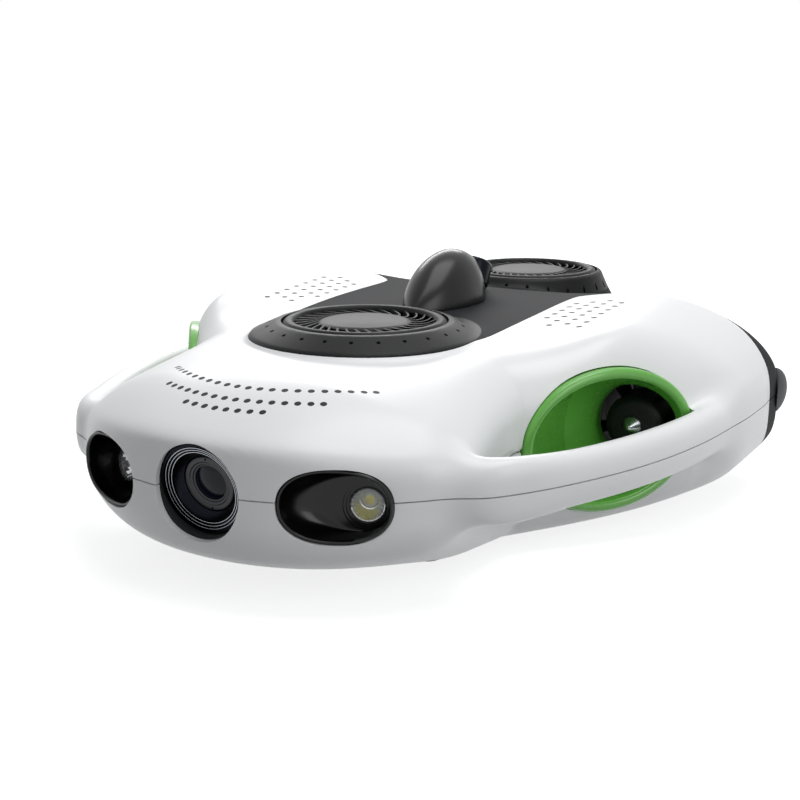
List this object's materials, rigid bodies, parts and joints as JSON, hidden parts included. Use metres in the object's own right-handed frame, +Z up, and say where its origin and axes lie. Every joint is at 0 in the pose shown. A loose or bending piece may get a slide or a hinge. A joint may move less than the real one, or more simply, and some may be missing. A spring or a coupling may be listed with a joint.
{
  "type": "underwater inspection vehicle",
  "caption": "Flat round-nosed underwater inspection vehicle with camera, side lamps, side bars, lift thrusters in its deck and drive thrusters in side ducts.",
  "frame": {"origin": "on the floor, under the middle of the bounding box", "axes": "+Z up, the nose points along -Y, the port side is +X"},
  "size_m": [0.354, 0.4135, 0.1325],
  "materials": {
    "white_shell": "satin gloss",
    "black_shell": "fine texture",
    "black_trim": "satin",
    "duct_plastic": "matt",
    "green_liner": "satin gloss",
    "motor_can": "hard anodised",
    "steel": "ground",
    "propeller": "glass filled, moulded",
    "cone_metal": "turned",
    "lamp_black": "gloss",
    "reflector": "vacuum metallised",
    "emitter": "phosphor",
    "heat_sink": "anodised",
    "window": "polished",
    "bezel_metal": "anodised, turned rings",
    "barrel_black": "anodised",
    "lens": "coated",
    "circuit_board": "solder mask",
    "dome_black": "satin",
    "socket_metal": "anodised",
    "contacts": "moulded",
    "tube_aluminium": "anodised",
    "seal_rubber": "smooth",
    "battery": "heat shrink sleeve",
    "ballast": "plain",
    "foot_rubber": "matt",
    "brass": "machined"
  },
  "bodies": {
    "hull": {"accessory_insert": "brass", "ballast_blocks": "ballast", "camera_barrel": "barrel_black", "camera_bezel": "bezel_metal", "camera_board": "circuit_board", "camera_collar": "duct_plastic", "camera_lens": "lens", "control_board": "circuit_board", "deck_cover": "black_shell", "electronics_tube": "tube_aluminium", "front_intake_grille": "black_trim", "front_lift_tunnel": "duct_plastic", "front_lower_guard": "black_trim", "front_motor": "motor_can", "front_tube_cap": "tube_aluminium", "lamp_heat_sinks": "heat_sink", "lamp_windows": "window", "light_emitters": "emitter", "lower_shell": "white_shell", "nose_cones": "cone_metal", "port_battery": "battery", "port_drive_ring": "duct_plastic", "port_duct_liner": "green_liner", "port_lamp_cup": "lamp_black", "port_lamp_reflector": "reflector", "port_motor": "motor_can", "port_outlet_guard": "black_trim", "port_outlet_tube": "duct_plastic", "rear_bumpers": "foot_rubber", "rear_cover": "black_shell", "rear_intake_grille": "black_trim", "rear_lift_tunnel": "duct_plastic", "rear_lower_guard": "black_trim", "rear_motor": "motor_can", "rear_tube_cap": "tube_aluminium", "rubber_feet": "foot_rubber", "shell_screws": "steel", "socket_contacts": "contacts", "starboard_battery": "battery", "starboard_drive_ring": "duct_plastic", "starboard_duct_liner": "green_liner", "starboard_lamp_cup": "lamp_black", "starboard_lamp_reflector": "reflector", "starboard_motor": "motor_can", "starboard_outlet_guard": "black_trim", "starboard_outlet_tube": "duct_plastic", "support_cradles": "duct_plastic", "tether_dome": "dome_black", "tether_socket": "socket_metal", "tube_seals": "seal_rubber", "upper_shell": "white_shell"},
    "front_rotor": {"front_motor_shaft": "steel", "front_propeller": "propeller"},
    "rear_rotor": {"rear_motor_shaft": "steel", "rear_propeller": "propeller"},
    "port_rotor": {"port_motor_shaft": "steel", "port_propeller": "propeller"},
    "starboard_rotor": {"starboard_motor_shaft": "steel", "starboard_propeller": "propeller"}
  },
  "joints": [
    {"name": "front_spin", "type": "hinge", "parent": "hull", "child": "front_rotor", "pos_m": [0, -0.058, 0.07], "axis": [0, 0, 1], "continuous": true},
    {"name": "rear_spin", "type": "hinge", "parent": "hull", "child": "rear_rotor", "pos_m": [0, 0.151, 0.07], "axis": [0, 0, 1], "continuous": true},
    {"name": "port_spin", "type": "hinge", "parent": "hull", "child": "port_rotor", "pos_m": [0.127, 0.03, 0.054], "axis": [0, 1, 0], "continuous": true},
    {"name": "starboard_spin", "type": "hinge", "parent": "hull", "child": "starboard_rotor", "pos_m": [-0.127, 0.03, 0.054], "axis": [0, 1, 0], "continuous": true}
  ]
}
